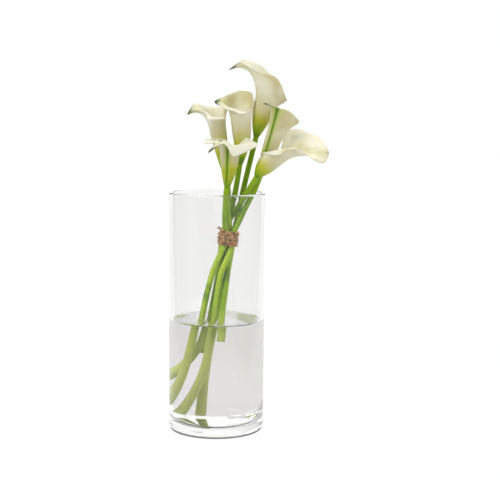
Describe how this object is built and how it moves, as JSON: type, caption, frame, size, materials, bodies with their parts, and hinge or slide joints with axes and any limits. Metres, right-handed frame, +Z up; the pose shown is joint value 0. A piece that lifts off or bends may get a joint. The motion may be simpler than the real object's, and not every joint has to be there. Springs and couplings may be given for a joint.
{
  "type": "glass cylinder vase with cut flowers",
  "caption": "Tall clear glass cylinder vase, open at the top with a thick flat foot, part filled with water and holding a leaning, twine-tied bunch of white calla lilies that lifts out.",
  "frame": {"origin": "centre of the flat underside of the vase's foot, on the table's surface", "axes": "+Z up along the vase's axis; +X to the side the flowers lean towards, the right of the picture; +Y away from the picture's viewer"},
  "size_m": [0.1968, 0.12, 0.4645],
  "materials": {
    "glass": "clear, smooth, colourless",
    "water": null,
    "jute": "rough hairy natural jute",
    "stem": "smooth satin green plant stem",
    "petal": "smooth satin cream white petal, greener at its foot and tip",
    "spadix": "grainy matt yellow"
  },
  "bodies": {
    "vase": {"vase_glass": "glass", "water": "water"},
    "bunch": {"twine_binding": "jute", "top_stem": "stem", "top_spathe": "petal", "top_spadix": "spadix", "left_stem": "stem", "left_spathe": "petal", "left_spadix": "spadix", "middle_stem": "stem", "middle_spathe": "petal", "middle_spadix": "spadix", "front_stem": "stem", "front_spathe": "petal", "front_spadix": "spadix", "right_stem": "stem", "right_spathe": "petal", "right_spadix": "spadix", "rear_stem": "stem", "rear_spathe": "petal", "rear_spadix": "spadix"}
  },
  "joints": [
    {"name": "bunch_lift", "type": "slide", "parent": "vase", "child": "bunch", "axis": [0, 0, 1], "range_m": [0, 0.3], "deforming": ["water"]}
  ]
}
